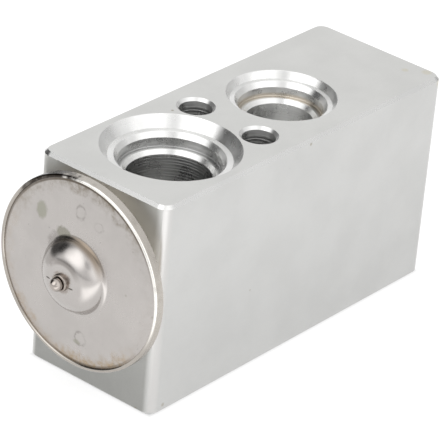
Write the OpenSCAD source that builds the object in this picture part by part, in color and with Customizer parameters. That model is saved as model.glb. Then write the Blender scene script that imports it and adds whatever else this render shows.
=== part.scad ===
// Block-type thermostatic expansion valve for a refrigeration circuit.
// The block lies with one port face up. The power head is at the -X end, the adjusting screw at the +X end.
// The origin is midway between the two bolt holes, on the lower port face. +Z is up, towards the upper one.

/* [Block] */
// Width of the block, across the bolt holes
block_w = 30; // [29:0.5:34]
// Height of the block, from port face to port face
block_h = 42.4; // [42:0.2:46]
// Distance from the bolt holes' centre to the end that carries the power head
head_end = 33.8; // [33.4:0.2:37]
// Distance from the bolt holes' centre to the end that holds the adjusting screw
screw_end = 45.8; // [44:0.2:50]
// Radius of the four long upright edges
edge_r = 2.4; // [1:0.1:4]
// Chamfer round each port face
edge_c = 0.6; // [0.2:0.1:0.9]
// Height of the valve's axis above the lower port face
axis_z = 25.1; // [24.4:0.1:26]

/* [Bolt holes] */
// Diameter of each bolt hole
bolt_d = 6.2; // [5.2:0.1:6.6]
// Distance between the two bolt holes
bolt_pitch = 15; // [14.6:0.1:17]
// Chamfer at the mouths of the bolt holes
bolt_c = 0.4; // [0.1:0.1:0.5]

/* [Suction ports] */
// Distance of the suction passage from the bolt holes' centre, towards the power head
suction_x = 15.5; // [15.4:0.1:16]
// Diameter of the socket for the suction tube
suction_d = 15.7; // [14:0.1:16]
// Depth of the socket below the port face
suction_socket = 12; // [9:0.2:12.2]
// Diameter of the passage between the two suction sockets
suction_pass_d = 14.4; // [12:0.2:14.8]
// Width of the flare round the suction port's mouth
suction_flare_w = 1.6; // [0.8:0.1:1.8]
// Depth of the flare round the suction port's mouth
suction_flare_h = 2.1; // [1.4:0.1:2.6]
// Width of the flat seat under the suction port's flare
suction_seat_w = 1.15; // [0.6:0.05:1.3]

/* [Liquid ports] */
// Distance of the inlet port from the bolt holes' centre, in the upper face
inlet_x = 15.6; // [15.4:0.1:16.4]
// Distance of the outlet port from the bolt holes' centre, in the lower face
outlet_x = 12.6; // [12.4:0.1:13]
// Diameter of the socket for a liquid tube
liquid_d = 12.7; // [12:0.1:13]
// Depth of the inlet socket below the upper face
inlet_socket = 10.9; // [9:0.1:11.2]
// Depth of the outlet socket above the lower face
outlet_socket = 13; // [9:0.2:14]
// Diameter of the passage from the valve's axis down to the outlet socket
outlet_pass_d = 7.4; // [6:0.1:7.8]
// Diameter of the drilling from the inlet socket into the ball chamber
inlet_drill_d = 4.4; // [3:0.1:4.6]
// Width of the flare round a liquid port's mouth
liquid_flare_w = 0.8; // [0.4:0.1:1]
// Depth of the flare round a liquid port's mouth
liquid_flare_h = 1.35; // [0.8:0.05:1.8]
// Width of the flat seat under a liquid port's flare
liquid_seat_w = 0.9; // [0.5:0.05:1.1]

/* [Port form] */
// Width of the sloping lip inside each port's seat
lip_w = 0.7; // [0.3:0.1:1]
// Height of that lip
lip_h = 1; // [0.6:0.1:1.4]
// Width from the tube socket out to the throat's wall
throat_w = 1.6; // [1.4:0.1:1.9]
// Height of the throat's wall and its rounded corner
throat_h = 1.8; // [1.2:0.1:2.4]
// Radius in the corner at the throat's floor
throat_r = 0.5; // [0.2:0.1:0.6]
// Width of the chamfer at the mouth of the tube socket
lead_w = 0.6; // [0.3:0.05:0.7]
// Depth of that chamfer
lead_h = 0.8; // [0.4:0.1:1]

/* [Power head] */
// Diameter over the welded rim of the power head
head_d = 37.1; // [36:0.1:40]
// Gap between the block's end and the back of the rim
rim_gap = 3; // [2.6:0.1:4]
// Thickness of the cover's and the base's steel sheet
sheet_t = 0.7; // [0.5:0.1:0.9]
// Thickness of the diaphragm
diaphragm_t = 0.2; // [0.1:0.05:0.3]
// Radius of the weld bead's round crest
bead_r = 0.38; // [0.3:0.02:0.46]
// Width of the cover's rim that is clamped on the diaphragm, measured in from the outside of the bead
clamp_w = 1.65; // [1.4:0.05:1.9]
// Rise of the cover's face from its rim in to the dome
face_rise = 0.9; // [0.6:0.05:1.2]
// Diameter of the cover's dome
dome_d = 13.7; // [12.6:0.1:15]
// Height of the dome above the cover's face
dome_h = 3.7; // [3:0.05:3.8]
// Radius of the dome's shoulder
dome_r = 3.6; // [3.2:0.1:4]
// Radius where the dome's foot runs into the face
foot_r = 1; // [0.8:0.1:1.4]
// Diameter of the ball that plugs the charging hole
plug_d = 2.5; // [2.2:0.1:3]
// Diameter of the charging hole
charge_d = 1.8; // [1.4:0.1:2]
// Width of the welded collar round the charging hole
collar_w = 0.7; // [0.5:0.1:1]
// Height of that collar above the dome
collar_h = 0.25; // [0.1:0.05:0.4]

/* [Head neck] */
// Outside diameter of the threaded neck
neck_d = 24; // [22:0.2:24.4]
// Depth that the neck reaches into the block
neck_l = 6; // [4:0.2:6.4]
// Wall of the neck
neck_wall = 1.4; // [1:0.1:2]
// Gap between the block's end and the base's shoulder
shoulder_gap = 0.6; // [0.4:0.1:0.9]
// Width of the base's shoulder outside the neck
shoulder_w = 1.4; // [1.2:0.1:1.6]
// Width of the base's cone, from the shoulder out to the rim
cone_w = 2.3; // [1.6:0.1:2.6]
// Section of the O-ring under the shoulder
head_seal_d = 1.54; // [1.3:0.02:1.58]

/* [Stem] */
// Stroke of the stem from fully open to closed
stroke = 0.7; // [0.4:0.05:0.8]
// Diameter of the diaphragm pad
pad_d = 25.2; // [23.4:0.2:25.6]
// Thickness of the diaphragm pad
pad_t = 1.5; // [1:0.1:1.6]
// Diameter of the pad's boss
boss_d = 12; // [9:0.5:16]
// Length of the boss below the pad's stop
boss_l = 4.5; // [4:0.1:5]
// Depth of the socket for the stem in the boss
boss_socket = 3; // [2:0.1:3.4]
// Diameter of the sensing stem
stem_d = 6; // [5:0.1:6.2]
// Diameter of the bore that lets suction gas under the diaphragm
gas_bore_d = 9.6; // [8:0.2:9.8]
// Depth of the pocket for the stem's O-ring, from the passage's wall
seal_pocket = 3.7; // [3:0.1:4.4]
// Section of the stem's O-ring
stem_seal_d = 1.8; // [1.4:0.1:1.9]
// Thickness of the toothed ring that holds the O-ring
retainer_t = 0.4; // [0.3:0.1:0.6]
// Length of metal between the stem's guide bore and the outlet passage
pin_land = 5.5; // [4.8:0.1:6]

/* [Ball valve] */
// Diameter of the push pin
pin_d = 2.4; // [2:0.1:2.8]
// Diameter of the orifice
orifice_d = 3.8; // [3.4:0.1:4]
// Thickness of the wall that the orifice goes through
seat_wall = 2.7; // [2.4:0.1:3.2]
// Chamfer of the seat at the orifice's mouth
seat_c = 0.5; // [0.3:0.05:0.6]
// Diameter of the valve ball
ball_d = 4.8; // [4.6:0.1:5.2]
// Diameter of the ball chamber
chamber_d = 11; // [10.6:0.1:11.4]
// Diameter of the ball carrier's flange
carrier_d = 9.4; // [8.8:0.1:9.6]
// Thickness of that flange
carrier_t = 3; // [2.8:0.1:4]
// Length of the spigot that centres the spring
spigot_l = 3.5; // [2:0.1:5]
// Thickness of the damping ring's strip
damping_t = 0.25; // [0.2:0.05:0.3]

/* [Spring and adjusting screw] */
// Diameter of the spring's wire
wire_d = 0.9; // [0.6:0.1:1]
// Outside diameter of the spring
spring_d = 7.2; // [6.8:0.1:7.4]
// Number of turns of the spring
spring_turns = 7; // [5:1:9]
// Nominal diameter of the adjusting screw
screw_d = 14; // [13.6:0.1:15]
// Length of the screw's threaded part
screw_l = 5; // [4:0.2:5.4]
// Diameter of the screw's plain spigot
screw_spigot_d = 12.5; // [12.2:0.1:12.8]
// Length of that spigot
screw_spigot_l = 4.6; // [4.2:0.1:5]
// Distance from the block's end to the screw's outer face
screw_recess = 1; // [1:0.1:1.4]
// Distance that the screw moves for one turn
screw_pitch = 1; // [0.5:0.25:1]
// Width across the flats of the hex socket
hex_af = 6; // [4:0.5:7]
// Depth of the hex socket
hex_l = 4.2; // [3:0.1:4.6]
// Depth of the spring's cup in the spigot
cup_l = 3.4; // [2:0.1:3.8]
// Distance from the spigot's inner end to the middle of its O-ring groove
groove_in = 1.7; // [1.4:0.1:1.8]
// Section of the screw's O-ring
screw_seal_d = 1.24; // [1:0.02:1.3]

/* [Hidden] */
// Radial clearance of a sliding or screwed fit
run_gap = 0.05;
// Clearance between pieces of one assembly that rest on each other
rest_gap = 0.02;
// Side clearance of an O-ring in its groove or step
groove_gap = 0.15;
// Clearance round the spring and its seats
spring_gap = 0.2;
// Clearance left at the end of a bore that a piece slides or screws into
end_gap = 0.5;
// Depth of the counterbore for the head's O-ring
seal_step = 1;
// Distance that the inlet's drilling stands in from the socket's wall
drill_inset = 0.3;
// Number of teeth on the ring that holds the stem's O-ring
retainer_teeth = 8;
// Number of fingers on the damping ring
damping_fingers = 4;
// Amount by which a cut passes through a face
cut = 1;
// Segments of a full circle
$fn = 96;
// Steps along a rounded corner in a turned outline
arc_steps = 8;

bolt_r = bolt_d / 2;
suction_r = suction_d / 2;
suction_pass_r = suction_pass_d / 2;
liquid_r = liquid_d / 2;
outlet_pass_r = outlet_pass_d / 2;
inlet_drill_r = inlet_drill_d / 2;
inlet_drill_x = inlet_x + liquid_r - inlet_drill_r - drill_inset;

neck_r = neck_d / 2;
neck_inner_r = neck_r - neck_wall;
shoulder_r = neck_r + shoulder_w;
cone_r = shoulder_r + cone_w;
head_r = head_d / 2;
stack_r = head_r - 2 * bead_r - run_gap;
base_top = rim_gap + sheet_t;
flange_u = base_top + diaphragm_t + sheet_t;
face_u = flange_u + face_rise;
dome_top = face_u + dome_h;
dome_wall_r = dome_d / 2;
charge_r = charge_d / 2;
plug_r = plug_d / 2;
// The ball rests on the edge of the charging hole
plug_u = dome_top + collar_h + sqrt(plug_r * plug_r - charge_r * charge_r) + rest_gap;
pocket_l = neck_l + end_gap;
head_seal_r = neck_r + head_seal_d / 2 + groove_gap;
head_step_r = head_seal_r + head_seal_d / 2 + groove_gap;

// The pad stops on the base's shoulder with the valve open
pad_u = shoulder_gap + sheet_t + run_gap;
pad_top = pad_u + pad_t;
pad_r = pad_d / 2;
stem_r = stem_d / 2;
gas_bore_r = gas_bore_d / 2;
seal_pocket_x = -suction_x + suction_pass_r + seal_pocket;
seal_pocket_r = stem_r + 2 * run_gap + stem_seal_d;
guide_end_x = outlet_x - outlet_pass_r - pin_land;
stem_start_x = -head_end - pad_u + boss_l - boss_socket + rest_gap;
stem_end_x = guide_end_x - end_gap;

seat_x = outlet_x + outlet_pass_r + seat_wall;
orifice_r = orifice_d / 2;
ball_r = ball_d / 2;
// The closed ball stops just short of the inner edge of the seat's chamfer
ball_closed_x = seat_x - seat_c + sqrt(ball_r * ball_r - orifice_r * orifice_r) + run_gap;
ball_x = ball_closed_x + stroke;
pin_r = pin_d / 2;
pin_start_x = stem_end_x - 2 * pin_r;
pin_end_x = ball_x - ball_r - rest_gap;
chamber_r = chamber_d / 2;
carrier_r = carrier_d / 2;
// The carrier's front rim stands a little behind the ball's middle
carrier_x = ball_x + ball_r / 4;
carrier_back_x = carrier_x + carrier_t;
damping_x = carrier_back_x + rest_gap;
damping_r = chamber_r - 2 * run_gap;
spring_x = damping_x + damping_t + rest_gap;
wire_r = wire_d / 2;
coil_r = spring_d / 2 - wire_r;
spigot_r = coil_r - wire_r - spring_gap / 2;

screw_r = screw_d / 2;
screw_out_x = screw_end - screw_recess;
screw_step_x = screw_out_x - screw_l;
screw_in_x = screw_step_x - screw_spigot_l;
spigot_out_r = screw_spigot_d / 2;
cup_r = spring_d / 2 + spring_gap;
spring_end_x = screw_in_x + cup_l - rest_gap;
// The screw may go one turn further in, so the bores leave that much room
seal_bore_x = screw_in_x - screw_pitch - spring_gap;
thread_bore_x = screw_step_x - screw_pitch - spring_gap;
groove_w = screw_seal_d + 2 * groove_gap;
groove_x = screw_in_x + groove_in;
groove_r = spigot_out_r - screw_seal_d;

// Points of an arc from angle a to angle b, for turned outlines
function arc(centre, r, a, b, steps = arc_steps) =
    [for (i = [0 : steps]) centre + r * [cos(a + (b - a) * i / steps), sin(a + (b - a) * i / steps)]];

// Local +Z points out of the block's head end, along the valve's axis, and starts at that face
module out_of_head() {
    translate([-head_end, 0, axis_z])
        rotate([0, -90, 0])
            children();
}

// Local +Z points along the valve's axis, towards the adjusting screw, from the given place
module along_axis(x) {
    translate([x, 0, axis_z])
        rotate([0, 90, 0])
            children();
}

// Solid ring of round section that lies across local Z
module o_ring(r, section_d) {
    rotate_extrude()
        translate([r, 0])
            circle(d = section_d);
}

// Flat ring from local Z = 0 up
module washer(r_out, r_in, t) {
    difference() {
        cylinder(r = r_out, h = t);
        translate([0, 0, -cut])
            cylinder(r = r_in, h = t + 2 * cut);
    }
}

// Outline with its four corners cut off, centred on its width and standing on its length
module chamfered_outline(length, width, c) {
    polygon([
        [c, -width / 2], [length - c, -width / 2], [length, c - width / 2], [length, width / 2 - c],
        [length - c, width / 2], [c, width / 2], [0, width / 2 - c], [0, c - width / 2]
    ]);
}

// Round post with chamfered ends, for one upright edge of the block
module edge_post() {
    rotate_extrude()
        polygon([[0, 0], [edge_r - edge_c, 0], [edge_r, edge_c], [edge_r, block_h - edge_c],
            [edge_r - edge_c, block_h], [0, block_h]]);
}

// Bare block: rounded upright edges and a chamfer round each port face
module block_body() {
    length = head_end + screw_end;
    translate([-head_end, 0, 0]) {
        translate([0, block_w / 2 - edge_r, block_h / 2])
            rotate([90, 0, 0])
                linear_extrude(block_w - 2 * edge_r)
                    chamfered_outline(length, block_h, edge_c);
        translate([edge_r, 0, 0])
            rotate([0, 0, 90])
                rotate([90, 0, 0])
                    linear_extrude(length - 2 * edge_r)
                        translate([-block_w / 2, block_h / 2])
                            chamfered_outline(block_w, block_h, edge_c);
        for (x = [edge_r, length - edge_r], y = [-1, 1])
            translate([x, y * (block_w / 2 - edge_r), 0])
                edge_post();
    }
}

// Cutter for one port: flare, flat seat, lip, throat with a rounded corner, chamfer and tube socket.
// It stands with the port's mouth at Z = 0 and reaches down.
module port_cutter(bore_r, socket, flare_w, flare_h, seat_w) {
    wall_r = bore_r + throat_w;
    lip_r = wall_r + lip_w;
    seat_r = lip_r + seat_w;
    mouth_r = seat_r + flare_w;
    lip_z = -flare_h - lip_h;
    floor_z = lip_z - throat_h;
    rotate_extrude()
        polygon(concat(
            [[0, cut], [mouth_r, cut], [mouth_r, 0], [seat_r, -flare_h], [lip_r, -flare_h],
                [wall_r, lip_z]],
            arc([wall_r - throat_r, floor_z + throat_r], throat_r, 0, -90, 4),
            [[bore_r + lead_w, floor_z], [bore_r, floor_z - lead_h], [bore_r, -socket], [0, -socket]]
        ));
}

// Cutter for one bolt hole, with a chamfer at both mouths
module bolt_cutter() {
    rotate_extrude()
        polygon([[0, -cut], [bolt_r + bolt_c + cut, -cut], [bolt_r, bolt_c], [bolt_r, block_h - bolt_c],
            [bolt_r + bolt_c + cut, block_h + cut], [0, block_h + cut]]);
}

module valve_block() {
    color("gainsboro")
    difference() {
        block_body();
        // Suction passage with a port at each end
        translate([-suction_x, 0, block_h])
            port_cutter(suction_r, suction_socket, suction_flare_w, suction_flare_h, suction_seat_w);
        translate([-suction_x, 0, 0])
            mirror([0, 0, 1])
                port_cutter(suction_r, suction_socket, suction_flare_w, suction_flare_h, suction_seat_w);
        translate([-suction_x, 0, suction_socket - cut])
            cylinder(r = suction_pass_r, h = block_h - 2 * suction_socket + 2 * cut);
        // Liquid inlet in the upper face, with a drilling that breaks into the ball chamber at its side
        translate([inlet_x, 0, block_h])
            port_cutter(liquid_r, inlet_socket, liquid_flare_w, liquid_flare_h, liquid_seat_w);
        translate([inlet_drill_x, 0, axis_z + chamber_r - inlet_drill_r / 2])
            cylinder(r = inlet_drill_r, h = block_h - inlet_socket - axis_z);
        // Liquid outlet in the lower face, up to the valve's axis
        translate([outlet_x, 0, 0])
            mirror([0, 0, 1])
                port_cutter(liquid_r, outlet_socket, liquid_flare_w, liquid_flare_h, liquid_seat_w);
        translate([outlet_x, 0, outlet_socket - cut])
            cylinder(r = outlet_pass_r, h = axis_z + outlet_pass_r - outlet_socket + cut);
        // Bolt holes
        for (y = [-1, 1])
            translate([0, y * bolt_pitch / 2, 0])
                bolt_cutter();
        // Threaded pocket for the power head, with the step for its O-ring
        along_axis(-head_end - cut) {
            cylinder(r = neck_r + run_gap, h = pocket_l + cut);
            cylinder(r = head_step_r, h = seal_step + cut);
            cylinder(r = gas_bore_r, h = head_end - suction_x + cut);
        }
        // Pocket for the stem's O-ring, guide bore and pin bore
        along_axis(-suction_x)
            cylinder(r = seal_pocket_r, h = seal_pocket_x + suction_x);
        along_axis(seal_pocket_x - cut)
            cylinder(r = stem_r + run_gap, h = guide_end_x - seal_pocket_x + cut);
        along_axis(guide_end_x - cut)
            cylinder(r = pin_r + run_gap, h = pin_land + 2 * cut);
        // Orifice with its seat, and the ball chamber
        along_axis(outlet_x)
            cylinder(r = orifice_r, h = seat_x - outlet_x + cut);
        along_axis(seat_x - seat_c)
            cylinder(r1 = orifice_r, r2 = orifice_r + seat_c + cut, h = seat_c + cut);
        along_axis(seat_x)
            cylinder(r = chamber_r, h = seal_bore_x - seat_x + cut);
        // Bores for the adjusting screw
        along_axis(seal_bore_x)
            cylinder(r = spigot_out_r + run_gap, h = screw_end - seal_bore_x);
        along_axis(thread_bore_x)
            cylinder(r = screw_r + run_gap, h = screw_end - thread_bore_x + cut);
        along_axis(screw_end - screw_recess / 2)
            cylinder(r1 = screw_r + run_gap, r2 = screw_r + screw_recess + cut, h = screw_recess / 2 + cut);
    }
}

// Drawn cover: weld bead, clamped rim, shallow cone of the face, low dome and the charging hole's collar
module head_cover() {
    shoulder_c = [dome_wall_r - dome_r, dome_top - dome_r];
    // Angle at which the dome's shoulder runs into the fillet at its foot
    foot_a = asin((dome_r + foot_r - dome_h) / (dome_r + foot_r));
    foot_c = shoulder_c + (dome_r + foot_r) * [cos(foot_a), sin(foot_a)];
    // The face rises evenly from just inside the bead to the fillet
    edge_u = flange_u + run_gap;
    face_slope = (face_u - edge_u) / (stack_r - foot_c[0]);
    // Inside, the sheet lifts off the diaphragm where the clamped rim ends
    clamp_r = head_r - clamp_w;
    lift_r = clamp_r - sheet_t;
    lift_u = edge_u + (stack_r - lift_r) * face_slope - sheet_t;
    bead_c = [head_r - bead_r, flange_u + rest_gap];
    collar_r = charge_r + collar_w;
    color("silver")
    out_of_head()
        rotate_extrude()
            polygon(concat(
                [[charge_r, dome_top - sheet_t], [charge_r, dome_top + collar_h],
                    [collar_r - collar_h, dome_top + collar_h], [collar_r, dome_top]],
                arc(shoulder_c, dome_r, 90, foot_a, 2 * arc_steps),
                arc(foot_c, foot_r, 180 + foot_a, 270),
                [[stack_r, edge_u]],
                arc(bead_c, bead_r, 180, 0),
                [[head_r, rim_gap + bead_r / 2], [head_r - bead_r / 2, rim_gap],
                    [stack_r + run_gap, rim_gap], [stack_r + run_gap, base_top + diaphragm_t],
                    [clamp_r, base_top + diaphragm_t], [lift_r, lift_u]],
                arc(foot_c, foot_r + sheet_t, 270, 180 + foot_a),
                arc(shoulder_c, dome_r - sheet_t, foot_a, 90, 2 * arc_steps)
            ));
}

// Steel ball welded into the charging hole
module charge_plug() {
    color("lightgray")
    out_of_head()
        translate([0, 0, plug_u])
            sphere(r = plug_r);
}

// Dished lower cover with the threaded neck
module head_base() {
    color("darkgray")
    out_of_head()
        rotate_extrude()
            polygon([
                [stack_r, rim_gap], [cone_r, rim_gap], [shoulder_r, shoulder_gap], [neck_r, shoulder_gap],
                [neck_r, -neck_l], [neck_inner_r, -neck_l], [neck_inner_r, shoulder_gap + sheet_t],
                [shoulder_r - sheet_t / 4, shoulder_gap + sheet_t], [cone_r - sheet_t / 4, base_top],
                [stack_r, base_top]
            ]);
}

// Thin disc, pressed down on the pad with the valve open
module diaphragm() {
    rise_r = cone_r - sheet_t / 2;
    color("silver")
    out_of_head()
        rotate_extrude()
            polygon([
                [0, pad_top + rest_gap], [pad_r, pad_top + rest_gap],
                [rise_r, base_top], [stack_r, base_top],
                [stack_r, base_top + diaphragm_t], [rise_r, base_top + diaphragm_t],
                [pad_r, pad_top + rest_gap + diaphragm_t], [0, pad_top + rest_gap + diaphragm_t]
            ]);
}

// O-ring between the base's shoulder and the block
module head_seal() {
    color("dimgray")
    out_of_head()
        translate([0, 0, (shoulder_gap - seal_step) / 2])
            o_ring(head_seal_r, head_seal_d);
}

// Plate that rests under the diaphragm, with a boss for the stem
module diaphragm_pad() {
    color("gold")
    out_of_head()
        difference() {
            union() {
                translate([0, 0, pad_u])
                    cylinder(r = pad_r, h = pad_t);
                translate([0, 0, pad_u - boss_l])
                    cylinder(r = boss_d / 2, h = boss_l + pad_t / 2);
            }
            translate([0, 0, pad_u - boss_l - cut])
                cylinder(r = stem_r + rest_gap, h = boss_socket + cut);
        }
}

// Rod that takes the suction gas's warmth to the head
module sensing_stem() {
    end_c = stem_r / 6;
    color("lightsteelblue")
    along_axis(stem_start_x)
        difference() {
            rotate_extrude()
                polygon([[0, 0], [stem_r - end_c, 0], [stem_r, end_c],
                    [stem_r, stem_end_x - stem_start_x - end_c],
                    [stem_r - end_c, stem_end_x - stem_start_x], [0, stem_end_x - stem_start_x]]);
            translate([0, 0, pin_start_x - stem_start_x - rest_gap])
                cylinder(r = pin_r + rest_gap, h = stem_end_x - pin_start_x + cut);
        }
}

// O-ring round the stem, between the suction side and the liquid side
module stem_seal() {
    color("dimgray")
    along_axis(seal_pocket_x - stem_seal_d / 2 - rest_gap)
        o_ring(stem_r + run_gap + stem_seal_d / 2, stem_seal_d);
}

// Toothed ring pressed into the pocket in front of the O-ring
module seal_retainer() {
    tooth_gap = retainer_t * 1.5;
    outer_r = seal_pocket_r - rest_gap;
    inner_r = stem_r + spring_gap;
    color("darkgray")
    along_axis(seal_pocket_x - stem_seal_d - retainer_t - run_gap - rest_gap)
        difference() {
            washer(outer_r, inner_r, retainer_t);
            for (i = [0 : retainer_teeth - 1])
                rotate([0, 0, i * 360 / retainer_teeth])
                    translate([outer_r - retainer_t, -tooth_gap / 2, -cut])
                        cube([retainer_t + cut, tooth_gap, retainer_t + 2 * cut]);
        }
}

// Thin rod through the orifice to the ball
module push_pin() {
    color("silver")
    along_axis(pin_start_x)
        cylinder(r = pin_r, h = pin_end_x - pin_start_x);
}

module valve_ball() {
    color("lightgray")
    along_axis(ball_x)
        sphere(r = ball_r);
}

// Cup behind the ball, with the spigot that centres the spring
module ball_carrier() {
    color("khaki")
    along_axis(carrier_x)
        difference() {
            union() {
                cylinder(r = carrier_r, h = carrier_t);
                cylinder(r = spigot_r, h = carrier_t + spigot_l);
            }
            translate([0, 0, ball_x - carrier_x])
                sphere(r = ball_r + rest_gap);
        }
}

// Strip ring behind the carrier, with fingers that run forward along the chamber's wall
module damping_ring() {
    finger_w = carrier_r / 2;
    finger_l = carrier_t * 0.8;
    color("lightslategray")
    along_axis(damping_x)
        difference() {
            union() {
                washer(damping_r, spigot_r + run_gap, damping_t);
                intersection() {
                    translate([0, 0, -finger_l])
                        washer(damping_r, damping_r - damping_t, finger_l + damping_t);
                    for (i = [0 : damping_fingers - 1])
                        rotate([0, 0, i * 360 / damping_fingers])
                            translate([0, -finger_w / 2, -finger_l])
                                cube([chamber_r, finger_w, finger_l + damping_t]);
                }
            }
            // Notches between the fingers let the liquid past
            for (i = [0 : damping_fingers - 1])
                rotate([0, 0, (i + 0.5) * 360 / damping_fingers])
                    translate([carrier_r - spring_gap, -finger_w / 2, -cut])
                        cube([chamber_r, finger_w, damping_t + 2 * cut]);
        }
}

// Share of the spring's length at a given number of turns: the first and last turns lie close
function coil_share(turn) =
    let (closed = wire_d * 1.02 / (spring_end_x - spring_x - wire_d))
    turn < 1 ? closed * turn
    : turn > spring_turns - 1 ? 1 - closed * (spring_turns - turn)
    : closed + (1 - 2 * closed) * (turn - 1) / (spring_turns - 2);

// Coil spring between the carrier and the adjusting screw
module valve_spring() {
    sides = 8;
    steps = 16;
    rings = spring_turns * steps;
    length = spring_end_x - spring_x - wire_d;
    points = [for (i = [0 : rings], k = [0 : sides - 1])
        let (turn = i / steps, a = turn * 360, b = k * 360 / sides, r = coil_r + wire_r * cos(b))
        [r * cos(a), r * sin(a), wire_r + length * coil_share(turn) + wire_r * sin(b)]];
    walls = [for (i = [0 : rings - 1], k = [0 : sides - 1])
        let (n = (k + 1) % sides)
        [i * sides + k, i * sides + n, (i + 1) * sides + n, (i + 1) * sides + k]];
    ends = [[for (k = [sides - 1 : -1 : 0]) k], [for (k = [0 : sides - 1]) rings * sides + k]];
    color("slategray")
    along_axis(spring_x)
        polyhedron(points = points, faces = concat(walls, ends), convexity = 10);
}

// Hex socket screw that closes the chamber and sets the spring's load
module adjusting_screw() {
    length = screw_out_x - screw_in_x;
    end_c = screw_recess / 2;
    color("goldenrod")
    along_axis(screw_in_x)
        difference() {
            rotate_extrude()
                polygon([
                    [0, 0], [spigot_out_r - end_c, 0], [spigot_out_r, end_c],
                    [spigot_out_r, groove_x - screw_in_x - groove_w / 2],
                    [groove_r, groove_x - screw_in_x - groove_w / 2],
                    [groove_r, groove_x - screw_in_x + groove_w / 2],
                    [spigot_out_r, groove_x - screw_in_x + groove_w / 2],
                    [spigot_out_r, screw_spigot_l], [screw_r, screw_spigot_l],
                    [screw_r, length - end_c], [screw_r - end_c, length], [0, length]
                ]);
            translate([0, 0, -cut])
                cylinder(r = cup_r, h = cup_l + cut);
            translate([0, 0, length - hex_l])
                cylinder(d = hex_af / cos(30), h = hex_l + cut, $fn = 6);
        }
}

// O-ring in the screw's groove
module adjuster_seal() {
    color("dimgray")
    along_axis(groove_x)
        o_ring(groove_r + screw_seal_d / 2 + rest_gap, screw_seal_d);
}

valve_block();
head_cover();
charge_plug();
head_base();
diaphragm();
head_seal();
diaphragm_pad();
sensing_stem();
stem_seal();
seal_retainer();
push_pin();
valve_ball();
ball_carrier();
damping_ring();
valve_spring();
adjusting_screw();
adjuster_seal();
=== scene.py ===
"""Looks of a block-type thermostatic expansion valve: its machined block, welded power head and adjusting screw."""

from __future__ import annotations

import logging
import math
from dataclasses import dataclass, field
from enum import Enum

import bmesh
import bpy
from mathutils import Matrix, Vector


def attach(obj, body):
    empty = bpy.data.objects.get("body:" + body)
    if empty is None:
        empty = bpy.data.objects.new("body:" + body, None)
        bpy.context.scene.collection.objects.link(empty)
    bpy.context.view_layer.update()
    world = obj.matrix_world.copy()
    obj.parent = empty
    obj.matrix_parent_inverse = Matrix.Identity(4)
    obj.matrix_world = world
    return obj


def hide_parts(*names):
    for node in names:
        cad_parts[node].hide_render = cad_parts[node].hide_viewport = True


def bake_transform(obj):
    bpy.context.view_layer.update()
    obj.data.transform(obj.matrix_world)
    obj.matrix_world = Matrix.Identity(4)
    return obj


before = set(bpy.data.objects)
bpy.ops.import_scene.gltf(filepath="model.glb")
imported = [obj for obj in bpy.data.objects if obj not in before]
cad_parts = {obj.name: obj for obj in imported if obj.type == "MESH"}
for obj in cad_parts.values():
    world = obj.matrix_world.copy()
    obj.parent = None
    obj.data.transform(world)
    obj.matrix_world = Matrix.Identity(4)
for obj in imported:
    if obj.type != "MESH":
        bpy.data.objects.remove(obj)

MM = 0.001
FULL_TURN = 2.0 * math.pi
MERGE_MM = 0.0005

log = logging.getLogger("expansion_valve")

Pair = tuple[float, float]
Triple = tuple[float, float, float]
Colour = Triple
Outline = list[Pair]
Socket = bpy.types.NodeSocket
Piece = bpy.types.Object
Material = bpy.types.Material


class Body(Enum):
    """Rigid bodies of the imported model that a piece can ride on."""

    VALVE = "valve"
    STEM_TRAIN = "stem_train"
    ADJUSTER_TRAVEL = "adjuster_travel"
    ADJUSTER = "adjuster"


class Lay(Enum):
    """Direction that a tool's marks run in, as stretch factors along X, Y and Z."""

    ALONG_BLOCK = (0.04, 1.0, 1.0)
    UPRIGHT = (1.0, 1.0, 0.04)


def arc(centre: Pair, radius: float, start: float, end: float, steps: int) -> Outline:
    """Gives the points of an arc in an outline.

    Args:
        centre: Centre of the arc.
        radius: Radius of the arc.
        start: Angle of the first point, in degrees.
        end: Angle of the last point, in degrees.
        steps: Number of chords.

    Returns:
        The points from start to end.
    """
    angles = [math.radians(start + (end - start) * i / steps) for i in range(steps + 1)]
    return [(centre[0] + radius * math.cos(a), centre[1] + radius * math.sin(a)) for a in angles]


def stepped(start: float, *bores: Pair) -> Outline:
    """Gives the outline of bores in a row, each with its radius and the height that it ends at."""
    starts = (start, *(end for _, end in bores))
    return [point for low, (radius, end) in zip(starts, bores) for point in ((radius, low), (radius, end))]


def link_mesh(name: str, bm: bmesh.types.BMesh, placed: Matrix | None = None) -> Piece:
    """Turns a bmesh in metres into an object of the scene that stands at the origin.

    Args:
        name: Name of the object and its mesh.
        bm: The finished bmesh. It is freed.
        placed: Turn and shift that its mesh gets, if it needs one.

    Returns:
        The new object.
    """
    if placed is not None:
        bmesh.ops.transform(bm, matrix=placed, verts=bm.verts)
    mesh = bpy.data.meshes.new(name)
    bm.to_mesh(mesh)
    bm.free()
    piece = bpy.data.objects.new(name, mesh)
    bpy.context.scene.collection.objects.link(piece)
    return piece


def turned(outline: Outline, steps: int) -> bmesh.types.BMesh:
    """Spins an outline of (radius, height) pairs in millimetres into a closed turned solid about Z.

    Args:
        outline: Closed outline. Its first and last points may lie on the axis.
        steps: Number of steps round the axis.

    Returns:
        A bmesh in metres, with its faces pointing outwards.
    """
    bm = bmesh.new()
    verts = [bm.verts.new((r * MM, 0.0, h * MM)) for r, h in outline]
    edges = [bm.edges.new(pair) for pair in zip(verts, verts[1:])]
    if outline[0][0] != 0.0 or outline[-1][0] != 0.0:
        edges.append(bm.edges.new((verts[-1], verts[0])))
    bmesh.ops.spin(bm, geom=verts + edges, axis=(0.0, 0.0, 1.0), cent=(0.0, 0.0, 0.0), angle=FULL_TURN,
                   steps=steps, use_merge=True)
    bmesh.ops.remove_doubles(bm, verts=bm.verts, dist=MERGE_MM * MM)
    bmesh.ops.recalc_face_normals(bm, faces=bm.faces)
    return bm


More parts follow.
